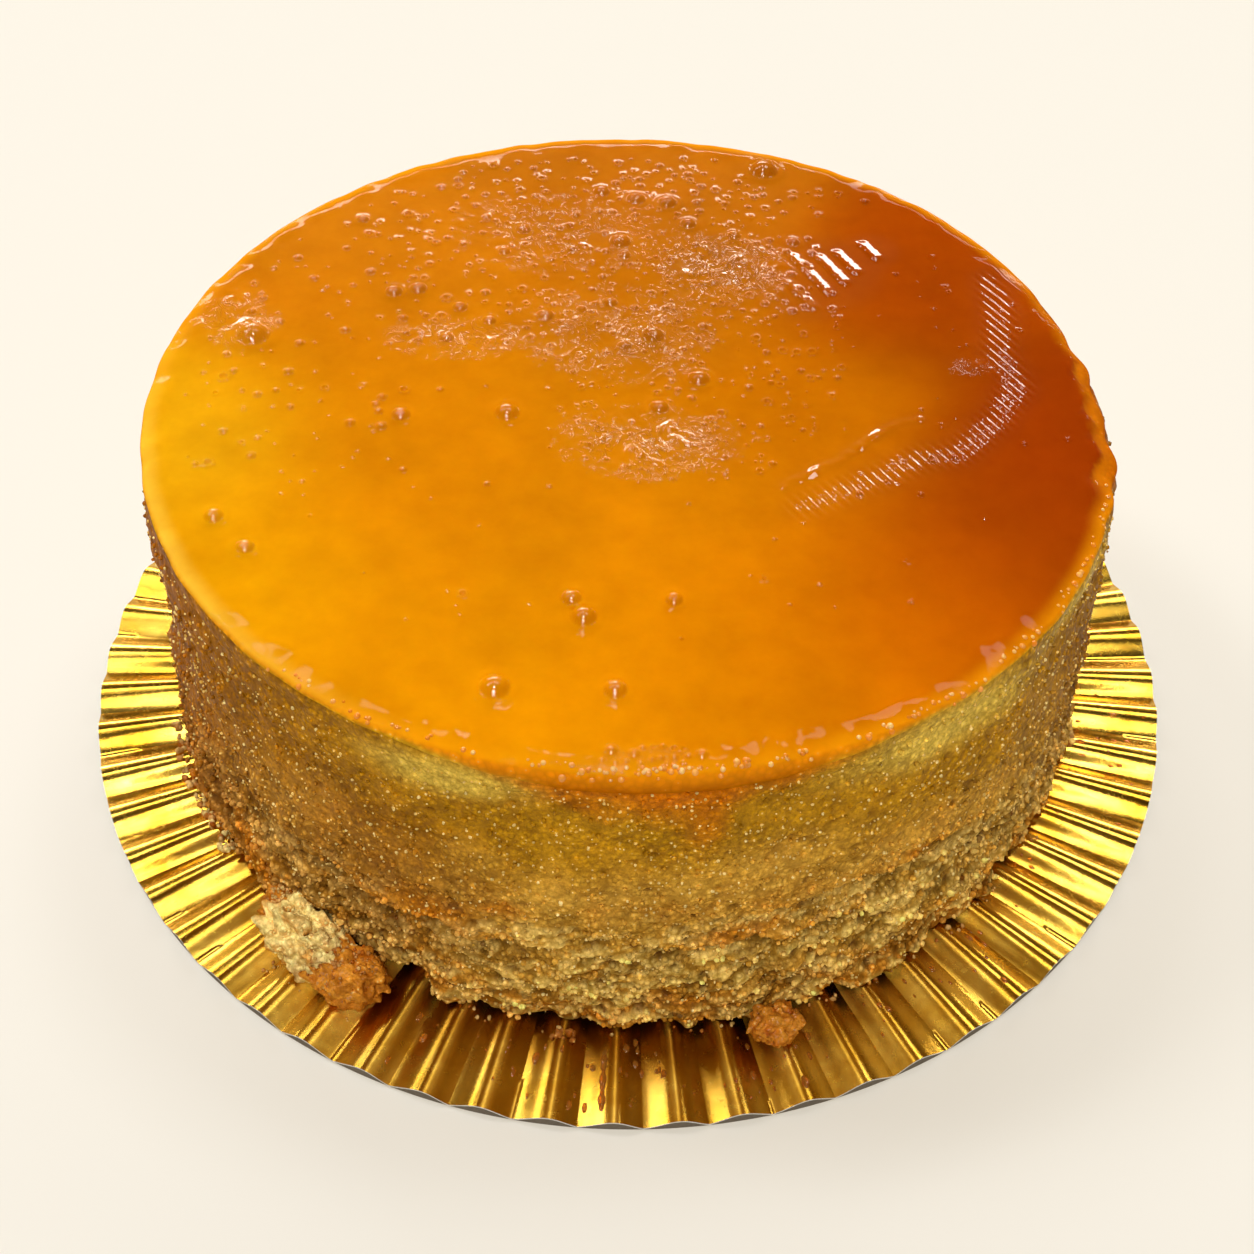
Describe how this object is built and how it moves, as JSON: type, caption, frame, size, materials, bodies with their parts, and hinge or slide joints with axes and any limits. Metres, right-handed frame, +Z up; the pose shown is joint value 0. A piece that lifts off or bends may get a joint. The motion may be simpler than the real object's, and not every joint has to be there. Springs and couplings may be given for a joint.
{
  "type": "leche flan cake on a fluted gold board",
  "caption": "Round caramel-topped custard sponge cake, glossy and blistered on top with a porous crumb side, on its fluted gold foil board beside broken crumbs.",
  "frame": {"origin": "centre of the board's flat underside", "axes": "+Z up; -Y is the front, where the caramel runs thickest over the edge; +X to the right of it"},
  "size_m": [0.203, 0.203, 0.0698],
  "materials": {
    "gold_foil": "gold foil over grey card",
    "custard_sponge": "moist porous crumb",
    "caramel": "wet gloss",
    "crumb": "dry crumb",
    "soaked_crumb": "syrup-soaked crumb"
  },
  "bodies": {
    "root": {"cake_board": "gold_foil", "flan_body": "custard_sponge", "caramel_layer": "caramel", "crumb_left": "crumb", "crumb_front": "soaked_crumb"}
  },
  "joints": []
}
